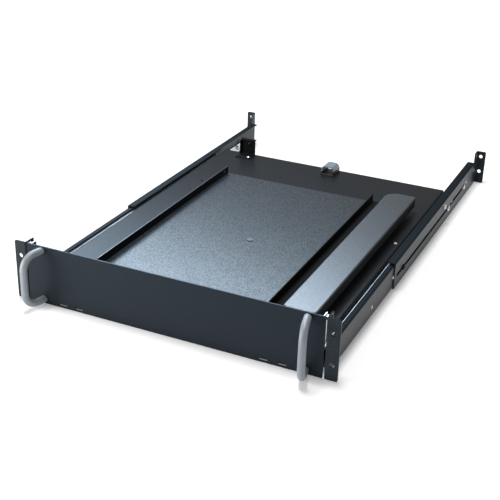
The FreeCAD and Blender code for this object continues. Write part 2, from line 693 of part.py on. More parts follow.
def handles():
    """A bent bar swept in a plane that leans outward, then cut flush with the panel's face."""
    front = -d.panel_sheet
    low, high = handle_levels
    body = new_body("handle_bar")
    profile = new_sketch(body, "XZ", as_size(0))
    draw_disc(profile, disc(0, high, d.handle_radius))
    bind(profile, "AttachmentOffset.Base.x", handle_x)
    path = new_sketch(body, "YZ", handle_x)
    grip = front - d.handle_reach
    draw_outline(path, [(as_size(0), high), (grip, high, d.handle_bend), (grip, low, d.handle_bend),
                        (as_size(0), low)], closed=False)
    for sketch in (profile, path):
        lean(sketch, d.handle_lean, d.handle_reach)
    bow = body.newObject("PartDesign::AdditivePipe", "handle_bow")
    bow.Profile = profile
    bow.Spine = (path, [])
    reach = d.handle_radius * 2
    pocket(body, "XZ", front, d.handle_radius,
           rectangle(handle_x - reach, low - reach, handle_x + reach, high + reach))
    group("handles", [body, mirrored(body, "handle_mirror")])


# Turning keyboard tray: plate with an upturned lip, stop strip, palm rest and its pivot

def keyboard_plate():
    body = new_body("keyboard_plate")
    lip_top = plate_level + d.plate_lip
    lip_inside = plate_left + d.tray_sheet
    pad(body, "XZ", d.plate_front, plate_rear,
        [(plate_left, plate_under, tray_bend), (plate_right, plate_under), (plate_right, plate_level),
         (lip_inside, plate_level, d.inner_bend), (lip_inside, lip_top), (plate_left, lip_top)])
    for corner_y in (d.plate_front, plate_rear):
        round_corners(body, d.plate_corner, Vector(0, 0, 1), plate_right, corner_y)
    pocket(body, "XY", plate_under - d.sheet_overrun, plate_level + d.sheet_overrun,
           disc(d.pivot_x, pivot_y, d.pivot_radius))
    pocket(body, "YZ", plate_left - d.sheet_overrun, lip_inside + d.sheet_overrun,
           disc(plate_rear - d.lip_hole_from_end, plate_level + d.lip_hole_rise, d.lip_hole_radius))
    keep(body, "keyboard_plate")


def stop_strip():
    body = new_body("stop_strip")
    top = plate_level + d.stop_height
    back = stop_face + d.tray_sheet
    pad(body, "XZ", d.plate_front, plate_rear,
        [(stop_face, plate_level, tray_bend), (stop_face + d.stop_foot, plate_level),
         (stop_face + d.stop_foot, plate_level + d.tray_sheet),
         (back, plate_level + d.tray_sheet, d.inner_bend), (back, top), (stop_face, top)])
    keep(body, "stop_strip")


def palm_rest():
    body = new_body("palm_rest")
    top = plate_level + d.palm_height
    block = pad(body, "XY", plate_level, top,
                [(palm_left, palm_front, d.palm_corner), (palm_right, palm_front, d.palm_corner),
                 (palm_right, palm_front + d.palm_length, d.palm_corner),
                 (palm_left, palm_front + d.palm_length, d.palm_rear_corner)])
    doc.recompute()
    faces = [face.CenterOfMass.z for face in block.Shape.Faces]
    rounding = body.newObject("PartDesign::Fillet", "palm_rest_rounding")
    rounding.Base = (block, [f"Face{faces.index(max(faces)) + 1}"])
    bind(rounding, "Radius", d.palm_round)
    keep(body, "palm_rest")


def turntable():
    lower_top = floor_level + d.ring_sheet
    upper_bottom = plate_under - d.ring_sheet
    levels = {"lower_ring": (floor_level, lower_top),
              "slip_ring": (lower_top, upper_bottom - d.turn_play),
              "upper_ring": (upper_bottom, plate_under)}
    for name, (bottom, top) in levels.items():
        body = new_body(name)
        pad(body, "XY", bottom, top, disc(d.pivot_x, pivot_y, d.ring_outer),
            disc(d.pivot_x, pivot_y, d.ring_inner))
        keep(body, name)

    washer_top = floor_under - d.turn_play
    washer_bottom = washer_top - d.ring_sheet
    shank_end = washer_bottom - d.nut_height
    bolt = headed_screw("pivot_bolt", (d.pivot_x, pivot_y, plate_level), (0, 0, -1), d.pivot_radius,
                        d.pivot_head_radius, d.pivot_head, plate_level - shank_end)
    keep(bolt, "pivot_bolt")
    washer = new_body("pivot_washer")
    pad(washer, "XY", washer_bottom, washer_top, disc(d.pivot_x, pivot_y, d.washer_radius),
        disc(d.pivot_x, pivot_y, d.pivot_radius))
    keep(washer, "pivot_washer")
    nut = new_body("pivot_nut")
    corners = [(d.pivot_x + d.nut_corner * math.cos(math.radians(60 * i)),
                pivot_y + d.nut_corner * math.sin(math.radians(60 * i))) for i in range(6)]
    pad(nut, "XY", shank_end, washer_bottom, corners, disc(d.pivot_x, pivot_y, d.pivot_radius))
    keep(nut, "pivot_nut")


# Cable clip, cable bracket and glide stud on the base

cable_bracket_left = d.cable_bracket_inset - base_half
cable_bracket_face = base_rear - d.cable_bracket_flange
cable_bracket_front = cable_bracket_face - d.cable_bracket_foot
clip_rear = base_rear - d.clip_back
clip_front = clip_rear - d.clip_depth


def cable_clip():
    right = d.clip_left + d.clip_width
    seam = floor_level + d.clip_seam
    top = floor_level + d.clip_height
    axis = (d.clip_left + d.clip_wall / 2, seam - d.clip_pin_drop)
    low_wall = axis[1] - d.clip_wall
    saddle = new_body("cable_clip_saddle")
    pad(saddle, "XZ", clip_front, clip_rear,
        [(d.clip_left, floor_level), (right, floor_level), (right, seam), (right - d.clip_wall, seam),
         (right - d.clip_wall, floor_level + d.clip_wall),
         (d.clip_left + d.clip_wall, floor_level + d.clip_wall),
         (d.clip_left + d.clip_wall, low_wall), (d.clip_left, low_wall)])
    lug_top = axis[1] + d.clip_wall / 2
    for start in (clip_front, clip_rear - d.clip_lug):
        pad(saddle, "XZ", start, start + d.clip_lug,
            rectangle(d.clip_left, low_wall, d.clip_left + d.clip_wall, lug_top))
    pocket(saddle, "XZ", clip_front - d.sheet_overrun, clip_rear + d.sheet_overrun,
           disc(*axis, d.clip_pin_radius))
    keep(saddle, "cable_clip_saddle")

    lid_front = clip_front + d.clip_lug + d.hinge_end_gap
    lid_rear = clip_rear - d.clip_lug - d.hinge_end_gap
    lid_foot = axis[1] - d.clip_wall * 0.7
    lid_seat = seam + d.turn_play
    inside = d.clip_round - d.clip_wall
    lid = new_body("cable_clip_lid")
    pad(lid, "XZ", lid_front, lid_rear,
        [(d.clip_left, lid_foot), (d.clip_left, top, d.clip_round), (right, top, d.clip_round),
         (right, lid_seat), (right - d.clip_wall, lid_seat), (right - d.clip_wall, top - d.clip_wall, inside),
         (d.clip_left + d.clip_wall, top - d.clip_wall, inside), (d.clip_left + d.clip_wall, lid_foot)])
    pocket(lid, "XZ", lid_front - d.sheet_overrun, lid_rear + d.sheet_overrun,
           disc(*axis, d.clip_pin_radius + d.pin_play))
    keep(lid, "cable_clip_lid")
    pin = turned("cable_clip_pin", (axis[0], clip_front, axis[1]), (0, 1, 0),
                 [(d.clip_pin_radius, d.clip_pin_radius, as_size(0), d.clip_depth)])
    keep(pin, "cable_clip_pin")


def cable_bracket():
    right = cable_bracket_left + d.cable_bracket_width
    face = cable_bracket_face
    back = face + d.tray_sheet
    top = floor_level + d.cable_bracket_height
    foot_top = floor_level + d.tray_sheet
    body = new_body("cable_bracket")
    pad(body, "YZ", cable_bracket_left, right,
        [(cable_bracket_front, floor_level), (back, floor_level, tray_bend),
         (back, top - d.tray_sheet, d.inner_bend), (face + d.cable_bracket_flange, top - d.tray_sheet),
         (face + d.cable_bracket_flange, top), (face, top, tray_bend),
         (face, foot_top, d.inner_bend), (cable_bracket_front, foot_top)])
    pad(body, "YZ", cable_bracket_left, cable_bracket_left + d.tray_sheet,
        rectangle(face - d.cable_bracket_side, foot_top, back, top - tray_bend))
    keep(body, "cable_bracket")


def glide_stud():
    height = d.stud_height
    collar = height * 0.5
    place = (base_half - d.stud_inset, d.plate_front + d.stud_from_front, floor_level)
    stud = turned("glide_stud", place, (0, 0, 1),
                  [(d.stud_radius, d.stud_radius, as_size(0), collar),
                   (d.stud_radius, d.stud_radius * 0.6, collar, height)])
    keep(stud, "glide_stud")


# Build, check and write

def write_parts():
    doc.recompute()
    failed = [thing.Label for thing in doc.Objects if {"Invalid", "Error"} & set(thing.State)]
    failed += [node.Label for node in nodes if node.Shape.isNull() or not node.Shape.isValid()]
    if failed:
        raise RuntimeError(f"not built: {failed}")
    os.makedirs("parts", exist_ok=True)
    for node in nodes:
        node.Shape.exportStep(os.path.join("parts", f"{node.Label}.step"))
        print(f"{node.Label}: {len(node.Shape.Solids)} solids, {node.Shape.Volume:.0f} mm3")


front_bracket()
rear_bracket()
adjusting_screws()
slide_members()
ball_cage("outer", outer_cage_in, outer_ball_in, outer_ball_rise)
ball_cage("inner", inner_cage_in, inner_ball_in, inner_ball_rise)
base_tray()
front_panel()
hinges()
latches()
handles()
keyboard_plate()
stop_strip()
palm_rest()
turntable()
cable_clip()
cable_bracket()
glide_stud()
write_parts()
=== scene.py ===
import math

import bmesh
import bpy
from bmesh.types import BMEdge, BMFace, BMVert
from mathutils import Matrix, Vector


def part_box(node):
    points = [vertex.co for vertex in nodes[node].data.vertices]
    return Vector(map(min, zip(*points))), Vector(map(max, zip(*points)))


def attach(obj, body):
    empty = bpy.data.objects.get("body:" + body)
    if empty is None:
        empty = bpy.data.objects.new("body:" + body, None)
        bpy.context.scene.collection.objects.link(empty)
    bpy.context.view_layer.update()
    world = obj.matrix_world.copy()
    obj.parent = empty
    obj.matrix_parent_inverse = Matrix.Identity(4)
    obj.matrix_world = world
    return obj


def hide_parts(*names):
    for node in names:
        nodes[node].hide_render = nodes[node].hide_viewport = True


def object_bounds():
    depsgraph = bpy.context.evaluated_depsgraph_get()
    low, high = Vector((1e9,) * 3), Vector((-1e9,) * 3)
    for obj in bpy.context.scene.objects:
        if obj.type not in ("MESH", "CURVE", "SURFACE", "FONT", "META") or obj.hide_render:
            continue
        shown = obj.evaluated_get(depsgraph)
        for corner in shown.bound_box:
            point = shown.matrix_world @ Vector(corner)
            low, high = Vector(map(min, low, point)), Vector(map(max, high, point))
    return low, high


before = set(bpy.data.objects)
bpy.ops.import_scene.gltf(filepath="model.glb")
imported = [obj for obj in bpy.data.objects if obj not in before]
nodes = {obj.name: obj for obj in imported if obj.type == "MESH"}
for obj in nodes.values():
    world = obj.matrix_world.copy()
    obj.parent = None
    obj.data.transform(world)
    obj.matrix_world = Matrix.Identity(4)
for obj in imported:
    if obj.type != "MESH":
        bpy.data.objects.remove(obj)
cad_box = [list(corner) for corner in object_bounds()]


# Front brackets: an ear, a short return leg and a long C-section rail bent from one steel sheet,
# a left and a right one. They are coated in black powder paint with a fine grain and a clear gloss
# on their walls. Their tops are painted darker as painted shade, and their bent and cut edges are paler,
# partly where the paint wears thin and partly as a painted highlight. They carry the whole drawer in the
# rack.

def node_group(name, inputs, outputs):
    """An empty shader group with float inputs and the given outputs, and its two end nodes."""
    group = bpy.data.node_groups.new(name, "ShaderNodeTree")
    for socket, value in inputs.items():
        made = group.interface.new_socket(socket, in_out="INPUT", socket_type="NodeSocketFloat")
        made.default_value = value
    for socket, kind in outputs.items():
        group.interface.new_socket(socket, in_out="OUTPUT", socket_type=f"NodeSocket{kind}")
    return group, group.nodes.new("NodeGroupInput"), group.nodes.new("NodeGroupOutput")


def feed(tree, socket, value):
    """Gives a socket a number, a colour or a link."""
    if isinstance(value, (int, float)):
        socket.default_value = value
    elif isinstance(value, tuple):
        socket.default_value = (*value, 1.0)
    else:
        tree.links.new(value, socket)


def noise_node(tree, vector, scale, detail, rough):
    """Noise whose scale is a number or a link."""
    node = tree.nodes.new("ShaderNodeTexNoise")
    for socket, value in (("Vector", vector), ("Scale", scale), ("Detail", detail), ("Roughness", rough)):
        feed(tree, node.inputs[socket], value)
    return node.outputs["Fac"]


def span_node(tree, value, source, target=(0.0, 1.0)):
    """Maps one range of a value to another, clamped at its ends."""
    node = tree.nodes.new("ShaderNodeMapRange")
    for socket, number in zip(("From Min", "From Max", "To Min", "To Max"), (*source, *target)):
        node.inputs[socket].default_value = number
    tree.links.new(value, node.inputs["Value"])
    return node.outputs["Result"]


def math_node(tree, operation, *values):
    """A sum, a product or the like of numbers and links."""
    node = tree.nodes.new("ShaderNodeMath")
    node.operation = operation
    for socket, value in zip(node.inputs, values):
        feed(tree, socket, value)
    return node.outputs["Value"]


def blend_node(tree, share, first, second):
    """A blend of two colours, each a tuple or a link; a Mix node keeps its colour sockets last."""
    factor_socket, first_socket, second_socket, result_socket = 0, 6, 7, 2
    node = tree.nodes.new("ShaderNodeMix")
    node.data_type = "RGBA"
    feed(tree, node.inputs[factor_socket], share)
    feed(tree, node.inputs[first_socket], first)
    feed(tree, node.inputs[second_socket], second)
    return node.outputs[result_socket]


def grain_group():
    """Orange-peel grain of powder paint or moulded plastic: a height, pale flecks and slow clouds."""
    cell_scale, peel_share, fleck_scale, cloud_scale = 0.8, 0.6, 0.55, 9.0
    group, start, end = node_group("coat_grain", {"Scale": 900.0},
                                   {"Height": "Float", "Fleck": "Float", "Cloud": "Float"})
    place = group.nodes.new("ShaderNodeTexCoord").outputs["Object"]
    scale = start.outputs["Scale"]
    peel = noise_node(group, place, scale, detail=3.0, rough=0.6)
    cells = group.nodes.new("ShaderNodeTexVoronoi")
    cells.feature = "SMOOTH_F1"
    group.links.new(place, cells.inputs["Vector"])
    group.links.new(math_node(group, "MULTIPLY", scale, cell_scale), cells.inputs["Scale"])
    low_peel = math_node(group, "MULTIPLY", peel, peel_share)
    group.links.new(math_node(group, "ADD", low_peel, cells.outputs["Distance"]), end.inputs["Height"])
    wider = math_node(group, "MULTIPLY", scale, fleck_scale)
    fleck = noise_node(group, place, wider, detail=2.0, rough=0.5)
    group.links.new(span_node(group, fleck, (0.46, 0.68)), end.inputs["Fleck"])
    cloud = noise_node(group, place, cloud_scale, detail=3.0, rough=0.55)
    group.links.new(span_node(group, cloud, (0.3, 0.7)), end.inputs["Cloud"])
    return group


def edge_group():
    """Where an outer edge is near: a mask along cut and bent edges, broken up by noise."""
    patch_scale = 60.0
    group, start, end = node_group("edge_rub_and_highlight", {"Reach": 0.0008}, {"Mask": "Float", "Normal": "Vector"})
    bevel = group.nodes.new("ShaderNodeBevel")
    bevel.samples = 6
    group.links.new(start.outputs["Reach"], bevel.inputs["Radius"])
    plain = group.nodes.new("ShaderNodeNewGeometry")
    dot = group.nodes.new("ShaderNodeVectorMath")
    dot.operation = "DOT_PRODUCT"
    group.links.new(bevel.outputs["Normal"], dot.inputs[0])
    group.links.new(plain.outputs["Normal"], dot.inputs[1])
    near = span_node(group, dot.outputs["Value"], (0.995, 0.86))
    place = group.nodes.new("ShaderNodeTexCoord").outputs["Object"]
    patches = noise_node(group, place, patch_scale, detail=4.0, rough=0.6)
    patchy = span_node(group, patches, (0.35, 0.6), (0.35, 1.0))
    group.links.new(math_node(group, "MULTIPLY", near, patchy), end.inputs["Mask"])
    group.links.new(bevel.outputs["Normal"], end.inputs["Normal"])
    return group


coat_grain = grain_group()
edge_rub_and_highlight = edge_group()


def new_material(name):
    """A material with its Principled shader, ready for textures."""
    material = bpy.data.materials.new(name)
    material.use_nodes = True
    tree = material.node_tree
    return material, tree, tree.nodes["Principled BSDF"]


def place_group(tree, group, **values):
    """A shared effect in a material, with its own values."""
    node = tree.nodes.new("ShaderNodeGroup")
    node.node_tree = group
    for socket, value in values.items():
        node.inputs[socket].default_value = value
    return node


def bump_node(tree, height, normal, strength, distance):
    """A height pressed into a normal."""
    node = tree.nodes.new("ShaderNodeBump")
    node.inputs["Strength"].default_value = strength
    node.inputs["Distance"].default_value = distance
    tree.links.new(height, node.inputs["Height"])
    tree.links.new(normal, node.inputs["Normal"])
    return node.outputs["Normal"]


def coated(name, colour, fleck_colour, edge_wear_and_highlight, rough, grain=900.0, depth=0.00006, reach=0.0008,
           fleck_gloss=0.0, sheen=(1.0, 1.0, 1.0), shine=0.5, polish_and_shade=None):
    """A powder coat or moulded skin: grain, pale flecks, cloudy gloss, and edges paled partly as rubbed
    wear and partly as a painted highlight.

    The polish and shade argument lays a clear gloss on the flat tops or on the walls: which of them, its
    IOR, its roughness and how much the grain breaks it up. The other faces take half their colour as
    painted shade.
    """
    cloudiness, painted_shade_share = 0.012, 0.5
    material, tree, shader = new_material(name)
    skin = place_group(tree, coat_grain, Scale=grain)
    edge = place_group(tree, edge_rub_and_highlight, Reach=reach)
    tint = blend_node(tree, skin.outputs["Fleck"], colour, fleck_colour)
    # Edges turn paler, partly as rubbed wear and partly as a painted highlight.
    tint = blend_node(tree, edge.outputs["Mask"], tint, edge_wear_and_highlight)
    gloss = span_node(tree, skin.outputs["Cloud"], (0.0, 1.0), (rough - cloudiness, rough + cloudiness))
    glint = math_node(tree, "MULTIPLY", skin.outputs["Fleck"], fleck_gloss)
    gloss = math_node(tree, "SUBTRACT", gloss, glint)
    if polish_and_shade:
        where, ior, clear_rough, broken = polish_and_shade
        facing = tree.nodes.new("ShaderNodeSeparateXYZ")
        tree.links.new(tree.nodes.new("ShaderNodeNewGeometry").outputs["True Normal"], facing.inputs[0])
        level = math_node(tree, "ABSOLUTE", facing.outputs["Z"])
        unshaded_polish = span_node(tree, level, (0.2, 0.7), (0.0, 1.0) if where == "tops" else (1.0, 0.0))
        # Faces without the clear gloss take half their colour: painted shade on the tops or on the walls.
        tint = blend_node(tree, unshaded_polish, tuple(painted_shade_share * value for value in colour), tint)
        speckle = span_node(tree, skin.outputs["Height"], (0.45, 0.85), (1.0 - broken, 1.0))
        tree.links.new(math_node(tree, "MULTIPLY", unshaded_polish, speckle), shader.inputs["Coat Weight"])
        shader.inputs["Coat IOR"].default_value = ior
        shader.inputs["Coat Roughness"].default_value = clear_rough
    tree.links.new(tint, shader.inputs["Base Color"])
    tree.links.new(gloss, shader.inputs["Roughness"])
    normal = bump_node(tree, skin.outputs["Height"], edge.outputs["Normal"], strength=0.4, distance=depth)
    tree.links.new(normal, shader.inputs["Normal"])
    shader.inputs["Specular Tint"].default_value = (*sheen, 1.0)
    shader.inputs["Specular IOR Level"].default_value = shine
    return material


def paint(material, *names):
    """Gives CAD nodes a material in their own slots."""
    for name in names:
        for slot in nodes[name].material_slots:
            slot.material = material


def pair(name):
    """The names of a right and a left node."""
    return f"{name}_right", f"{name}_left"


# Tops at half colour as painted shade, walls under a clear gloss, edges paled as wear and as painted
# highlight.
black_powder = coated("black_powder", (0.017, 0.0235, 0.029), (0.024, 0.031, 0.038), (0.06, 0.07, 0.08),
                      rough=0.6, grain=700.0, depth=0.00012, sheen=(0.5, 0.78, 1.0), shine=0.1,
                      polish_and_shade=("walls", 1.22, 0.4, 0.2))
paint(black_powder, *pair("front_bracket"))


# Rear brackets: slotted angles that slide along the front brackets to suit the rack's depth,
# with the rear ears bent outwards. They are the same coated sheet, clamped by adjusting screws.

paint(black_powder, *pair("rear_bracket"))


# Rail screws: two adjusting screws a side in the long slot of the rear bracket, a lock screw above,
# a ground screw behind and three small ones. All are cold-formed pan heads with a cross recess,
# plated bright except the front adjusting screw, which is blackened.

def machine_metal(name, colour, dark, rough, streak=(900.0, 40.0, 900.0), metallic=1.0):
    """Plated, brushed or anodised metal with fine streaks along one axis and a faint cloud of tarnish."""
    cloud_scale, line_share, smoother, rougher = 22.0, 0.5, 0.06, 0.08
    material, tree, shader = new_material(name)
    place = tree.nodes.new("ShaderNodeTexCoord").outputs["Object"]
    stretch = tree.nodes.new("ShaderNodeMapping")
    stretch.inputs["Scale"].default_value = streak
    tree.links.new(place, stretch.inputs["Vector"])
    lines = noise_node(tree, stretch.outputs["Vector"], 1.0, detail=3.0, rough=0.6)
    cloud = noise_node(tree, place, cloud_scale, detail=3.0, rough=0.6)
    tarnish = math_node(tree, "ADD", math_node(tree, "MULTIPLY", lines, line_share), cloud)
    share = span_node(tree, tarnish, (0.55, 1.0))
    tree.links.new(blend_node(tree, share, dark, colour), shader.inputs["Base Color"])
    gloss = span_node(tree, lines, (0.3, 0.7), (rough - smoother, rough + rougher))
    tree.links.new(gloss, shader.inputs["Roughness"])
    shader.inputs["Metallic"].default_value = metallic
    edge = place_group(tree, edge_rub_and_highlight, Reach=0.0003)
    normal = bump_node(tree, lines, edge.outputs["Normal"], strength=0.08, distance=0.00003)
    tree.links.new(normal, shader.inputs["Normal"])
    return material


def picked(items, kind):
    """The vertices, edges or faces among what a bmesh operator gave back."""
    return [item for item in items if isinstance(item, kind)]


def screw_head(radius, height, recess=0.55):
    """A pan head that stands on z 0, with a cross recess in its crown."""
    crown_share, bar_share, recess_depth, recess_taper = 0.72, 0.32, 0.6, 0.7
    dome_rings = ((1.25, 0.16), (1.111, 0.34), (1.0, 0.5))
    bm = bmesh.new()
    crown = radius * crown_share
    rim = bmesh.ops.create_circle(bm, cap_ends=False, radius=crown, segments=24)["verts"]
    rim_edges = list({edge for vert in rim for edge in vert.link_edges})
    arm = crown * recess
    bar = arm * bar_share
    corners = [(bar, arm), (-bar, arm), (-bar, bar), (-arm, bar), (-arm, -bar), (-bar, -bar),
               (-bar, -arm), (bar, -arm), (bar, -bar), (arm, -bar), (arm, bar), (bar, bar)]
    cross = [bm.verts.new((x, y, 0.0)) for x, y in corners]
    cross_edges = [bm.edges.new(ends) for ends in zip(cross, cross[1:] + cross[:1])]
    bmesh.ops.triangle_fill(bm, use_beauty=True, use_dissolve=False, edges=rim_edges + cross_edges)
    inside = [face for face in bm.faces if all(vert in cross for vert in face.verts)]
    bmesh.ops.delete(bm, geom=inside, context="FACES_ONLY")
    low = picked(bmesh.ops.extrude_edge_only(bm, edges=cross_edges)["geom"], BMVert)
    bmesh.ops.translate(bm, verts=low, vec=(0, 0, -height * recess_depth))
    bmesh.ops.scale(bm, verts=low, vec=(recess_taper, recess_taper, 1.0))
    bmesh.ops.contextual_create(bm, geom=low)
    edges = rim_edges
    for spread, drop in dome_rings:
        ring = bmesh.ops.extrude_edge_only(bm, edges=edges)["geom"]
        verts, edges = picked(ring, BMVert), picked(ring, BMEdge)
        bmesh.ops.scale(bm, verts=verts, vec=(spread, spread, 1.0))
        bmesh.ops.translate(bm, verts=verts, vec=(0, 0, -height * drop))
    bmesh.ops.contextual_create(bm, geom=edges)
    bmesh.ops.translate(bm, verts=bm.verts, vec=(0, 0, height))
    bmesh.ops.recalc_face_normals(bm, faces=bm.faces)
    return bm


def stand(shape, place, direction, turn=0.0):
    """Sets a head made on z 0 at a place, with its axis along a direction."""
    aim = Vector(direction).to_track_quat("Z", "Y").to_matrix().to_4x4()
    bmesh.ops.transform(shape, verts=shape.verts,
                        matrix=Matrix.Translation(place) @ aim @ Matrix.Rotation(turn, 4, "Z"))
    return shape


def finished(name, shapes, material, body):
    """Joins shapes into one piece that rides on a body and takes a material slot's finish."""
    crease = math.radians(40.0)
    joined = bmesh.new()
    for shape in shapes:
        part = bpy.data.meshes.new("part")
        shape.to_mesh(part)
        shape.free()
        joined.from_mesh(part)
        bpy.data.meshes.remove(part)
    for face in joined.faces:
        face.smooth = True
    for edge in joined.edges:
        if len(edge.link_faces) == 2 and edge.calc_face_angle() > crease:
            edge.smooth = False
    mesh = bpy.data.meshes.new(name)
    joined.to_mesh(mesh)
    joined.free()
    mesh.materials.append(material)
    piece = bpy.data.objects.new(name, mesh)
    bpy.context.scene.collection.objects.link(piece)
    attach(piece, body)
    return piece


black_oxide = machine_metal("black_oxide", (0.03, 0.032, 0.036), (0.012, 0.013, 0.015), rough=0.42,
                            streak=(300.0, 300.0, 300.0))
bright_zinc = machine_metal("bright_zinc", (0.76, 0.78, 0.8), (0.56, 0.58, 0.61), rough=0.34,
                            streak=(300.0, 12.0, 300.0))

right_and_left = (1, -1)
rail_sheet = 0.002
adjuster_radius = 0.0045
adjuster_height = 0.0026
screw_low, screw_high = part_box("adjusting_screws")
rail_side = screw_high.x - adjuster_height
bracket_side = rail_side - rail_sheet
slide_level = (screw_low.z + screw_high.z) / 2
front_adjuster = screw_low.y + adjuster_radius
rear_adjuster = screw_high.y - adjuster_radius
adjuster_turns = ((front_adjuster, 0.5), (rear_adjuster, 0.9))

# Of each plated screw: the face it stands on, its place along the rail, its rise, radius and turn.
plated_screws = {
    "lock": (rail_side, 0.537, 0.0125, adjuster_radius, 0.2),
    "ground": (rail_side, 0.667, 0.002, 0.0042, 0.3),
    "beside_ground": (rail_side, 0.679, 0.008, 0.0026, 0.6),
    "front_small": (bracket_side, 0.2665, 0.002, 0.0026, 1.1),
    "rear_small": (bracket_side, 0.592, 0.002, 0.0024, 0.8),
}
plated_height = 0.56
plated_recess = 0.45

adjusters = []
bright_heads = []
for side in right_and_left:
    outwards = (side, 0, 0)
    for y, turn in adjuster_turns:
        head = screw_head(adjuster_radius, adjuster_height)
        adjusters.append(stand(head, (side * rail_side, y, slide_level), outwards, turn))
    for face_side, y, rise, radius, turn in plated_screws.values():
        head = screw_head(radius, radius * plated_height, plated_recess)
        bright_heads.append(stand(head, (side * face_side, y, slide_level + rise), outwards, turn))
finished("plated_rail_screws", bright_heads, bright_zinc, "rack_rails")
adjuster_heads = finished("adjusting_screw_heads", adjusters, black_oxide, "rack_rails")
adjuster_heads.data.materials.append(bright_zinc)
for face in adjuster_heads.data.polygons:
    face.material_index = int(face.center.y > (front_adjuster + rear_adjuster) / 2)
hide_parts("adjusting_screws")


# Nut plates: a small plated strip with two hex nuts inside each rail's rear end, which takes the
# ground screw and keeps the two brackets clamped. Stamped steel with pressed-in nuts.

def nut_plate(length, height, thick, nuts, nut_radius):
    """A strip with rounded corners that stands on z 0, with hex nuts at places along it."""
    corner_share, nut_share, bore_share = 0.18, 0.7, 0.4
    bm = bmesh.new()
    half, tall = length / 2, height / 2
    outline = ((-half, -tall), (half, -tall), (half, tall), (-half, tall))
    face = bm.faces.new([bm.verts.new((x, y, 0.0)) for x, y in outline])
    raised = bmesh.ops.extrude_face_region(bm, geom=[face])["geom"]
    bmesh.ops.translate(bm, verts=picked(raised, BMVert), vec=(0, 0, thick))
    corners = [edge for edge in bm.edges if abs(edge.verts[0].co.z - edge.verts[1].co.z) > thick / 2]
    bmesh.ops.bevel(bm, geom=corners, offset=height * corner_share, offset_type="OFFSET", affect="EDGES",
                    segments=4, profile=0.5, material=-1)
    for place, rise in nuts:
        ring = bmesh.ops.create_circle(bm, cap_ends=True, radius=nut_radius, segments=6,
                                       matrix=Matrix.Translation((place, rise, thick)))["verts"]
        top = list({item for vert in ring for item in vert.link_faces})
        lifted = bmesh.ops.extrude_face_region(bm, geom=top)["geom"]
        bmesh.ops.translate(bm, verts=picked(lifted, BMVert), vec=(0, 0, nut_radius * nut_share))
        crown = picked(lifted, BMFace)
        bmesh.ops.inset_region(bm, faces=crown, thickness=nut_radius * bore_share, depth=0.0)
        bmesh.ops.translate(bm, verts=list({vert for item in crown for vert in item.verts}),
                            vec=(0, 0, -nut_radius * bore_share))
    bmesh.ops.recalc_face_normals(bm, faces=bm.faces)
    return bm


strip_length, strip_height, strip_sheet = 0.062, 0.016, 0.0015
strip_place = 0.658
strip_lift = 0.005
nut_places = ((-0.02, 0.002), (0.009, 0.002))
nut_size = 0.0042
web_inside = bracket_side - rail_sheet
strip_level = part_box("front_bracket_right")[0].z + strip_lift + strip_height / 2
plates = []
for side in right_and_left:
    strip = nut_plate(strip_length, strip_height, strip_sheet, nut_places, nut_size)
    seat = Matrix(((0, 0, -side), (1, 0, 0), (0, 1, 0))).to_4x4()
    seat.translation = (side * web_inside, strip_place, strip_level)
    bmesh.ops.transform(strip, verts=strip.verts, matrix=seat)
    bmesh.ops.recalc_face_normals(strip, faces=strip.faces)
    plates.append(strip)
finished("rail_nut_plates", plates, bright_zinc, "rack_rails")


# Telescopic slides: three nested channels of satin zinc-plated steel a side, with caged balls
# between them. The outer ones are screwed to the brackets, the inner ones to the base, and the
# middle ones run between on rows of polished steel balls.

def ball_row(x, z, start, end, count, radius):
    """Balls in a line along the slide, evenly spaced."""
    bm = bmesh.new()
    for number in range(count):
        y = start + (end - start) * number / (count - 1)
        bmesh.ops.create_uvsphere(bm, u_segments=12, v_segments=8, radius=radius,
                                  matrix=Matrix.Translation((x, y, z)))
    return bm


slide_zinc = machine_metal("slide_zinc", (0.55, 0.57, 0.6), (0.4, 0.42, 0.45), rough=0.48,
                           streak=(300.0, 12.0, 300.0))
bearing_steel = machine_metal("bearing_steel", (0.72, 0.73, 0.75), (0.55, 0.56, 0.58), rough=0.16,
                              streak=(80.0, 80.0, 80.0))
paint(slide_zinc, *pair("outer_slide"), *pair("middle_slide"), *pair("inner_slide"))
paint(bright_zinc, *pair("outer_cage"), *pair("inner_cage"))

ball_radius = 0.0015
balls_in_row = 15
row_inset = 0.02
for rank in ("outer", "inner"):
    low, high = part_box(f"{rank}_balls")
    cage_low, cage_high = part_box(f"{rank}_cage_right")
    row_start, row_end = cage_low.y + row_inset, cage_high.y - row_inset
    reach = high.x - ball_radius
    rows = [ball_row(side * reach, z, row_start, row_end, balls_in_row, ball_radius)
            for side in right_and_left for z in (low.z + ball_radius, high.z - ball_radius)]
    balls = finished(f"{rank}_bearing_balls", rows, bearing_steel, f"{rank}_ball_cages")
    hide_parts(f"{rank}_balls")

slide_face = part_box("outer_slide_right")[1].x
fixing_radius, fixing_height = 0.0034, 0.0021
fixing_place = 0.177
fixing_drop = 0.004
fixing_screws = [stand(screw_head(fixing_radius, fixing_height),
                       (side * slide_face, fixing_place, slide_level - fixing_drop), (side, 0, 0), turn=0.7)
                 for side in right_and_left]
finished("slide_fixing_screws", fixing_screws, bright_zinc, "rack_rails")


# Sliding base: a shallow coated steel pan turned upside down, which carries the turning tray.
# Its side flanges hang on the inner slides by three plated screws each, put in from inside.

base_powder = coated("base_powder", (0.0155, 0.0165, 0.0185), (0.023, 0.0245, 0.027), (0.05, 0.054, 0.058),
                     rough=0.36, sheen=(0.7, 0.86, 1.0), shine=0.13, fleck_gloss=0.08)
paint(base_powder, "base_tray")

